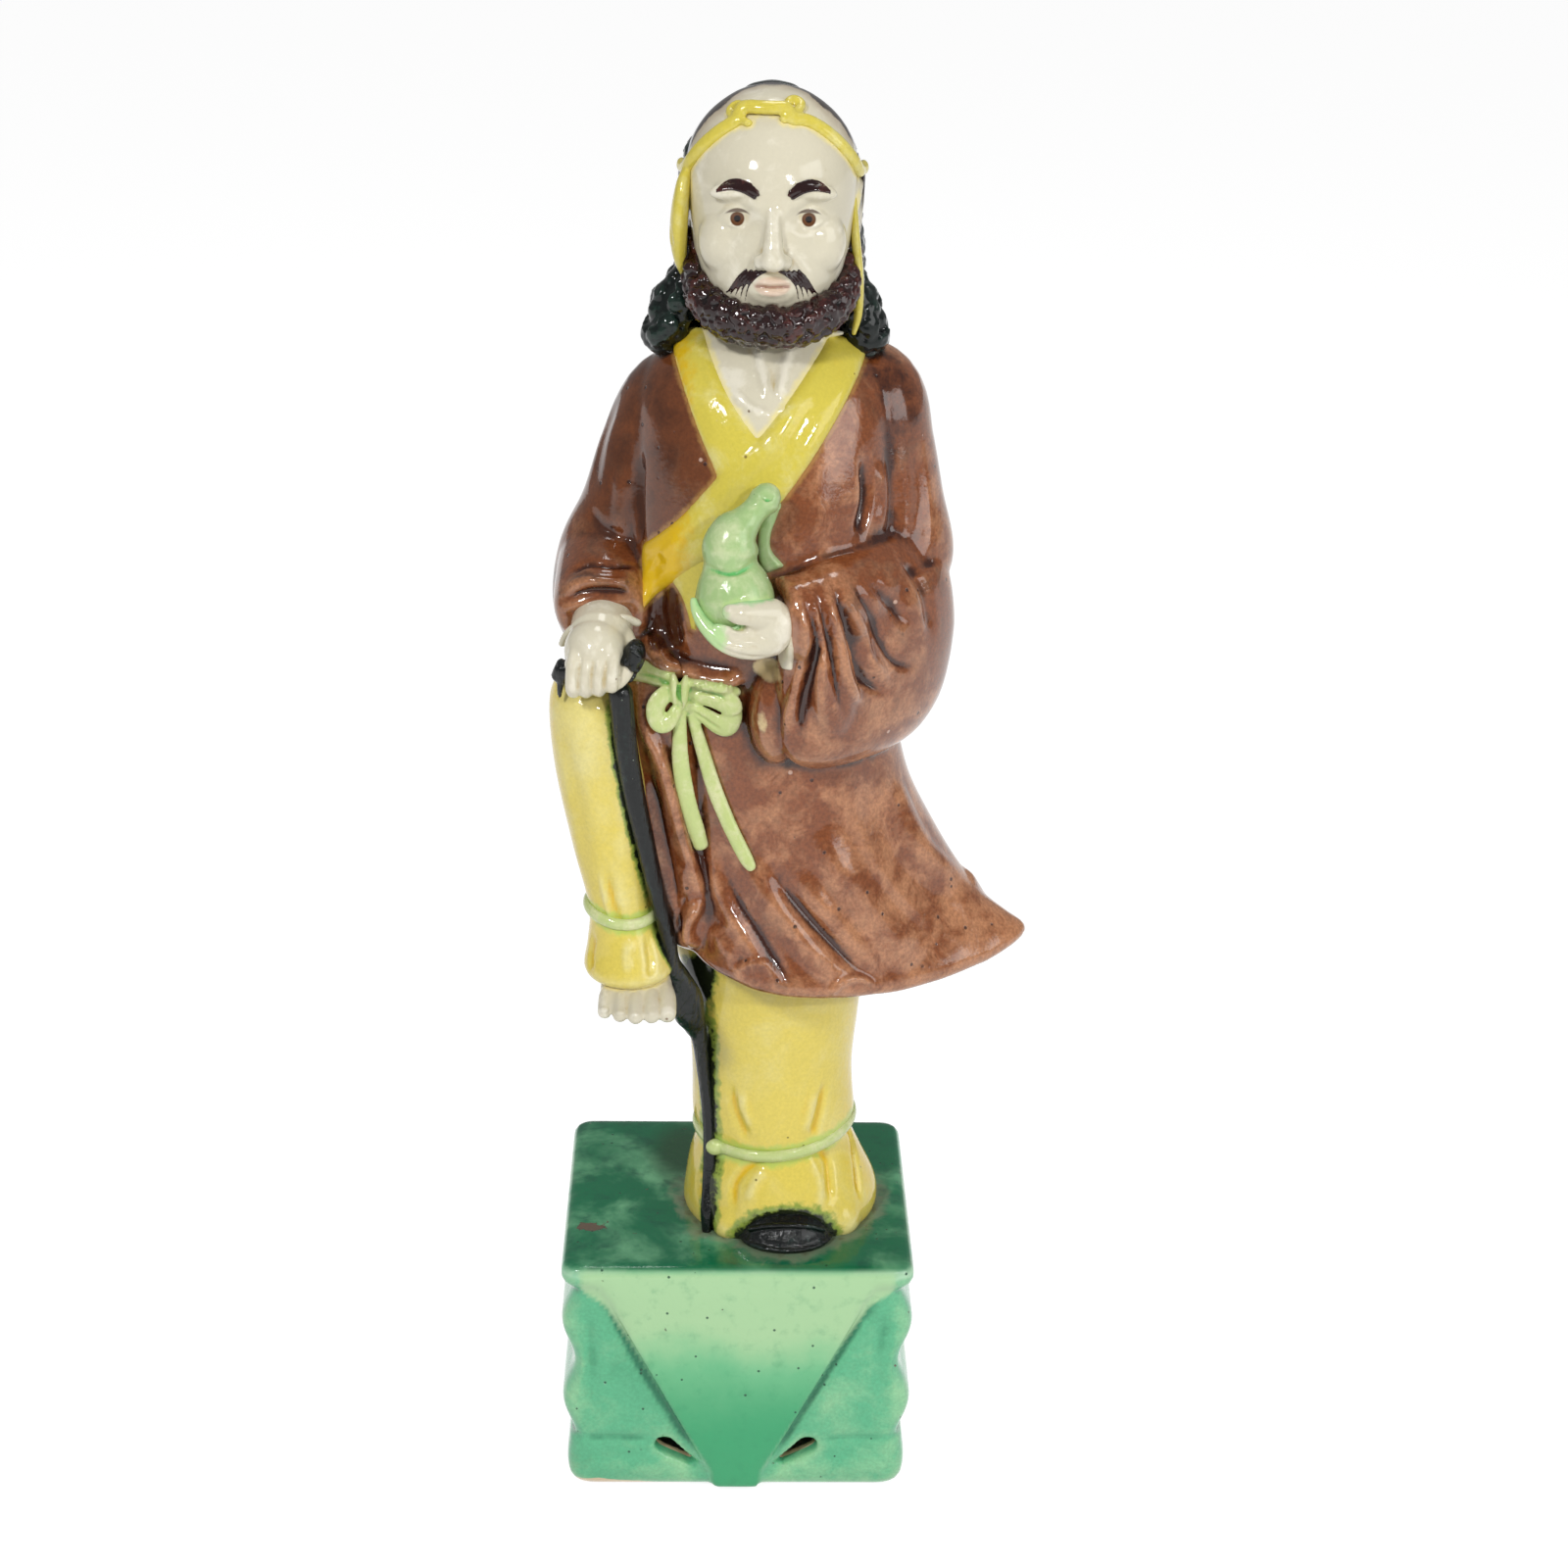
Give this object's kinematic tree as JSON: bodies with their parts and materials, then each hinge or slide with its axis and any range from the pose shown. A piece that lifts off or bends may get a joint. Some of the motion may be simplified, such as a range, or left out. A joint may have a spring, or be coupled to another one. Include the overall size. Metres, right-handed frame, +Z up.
{
  "type": "porcelain immortal figure",
  "caption": "Glazed porcelain figure of a bearded robed immortal leaning on a crutch and holding a gourd bottle, standing on a hollow square plinth.",
  "frame": {"origin": "middle of the outer box, on the surface the plinth stands on", "axes": "+Z up, -Y towards the figure's front, +X to the figure's left hand, the side with the gourd"},
  "size_m": [0.0784, 0.0592, 0.236],
  "materials": {
    "robe_glaze": "manganese brown lead glaze, pooled dark in the folds and thin on the ridges",
    "yellow_glaze": "straw yellow glaze, amber where it pools",
    "green_glaze": "mottled copper green glaze, pale where it is thin",
    "pale_green_glaze": "pale green glaze on gourd, bow and ties",
    "white_glaze": "clear glaze over cream white porcelain",
    "black_glaze": "glossy black glaze on hair, shoe and crutch",
    "beard_glaze": "dark aubergine glaze on beard and brows",
    "bare_clay": "unglazed fired clay on the standing rim and inside the plinth"
  },
  "bodies": {
    "root": {"immortal_figure": "robe_glaze"}
  },
  "joints": []
}
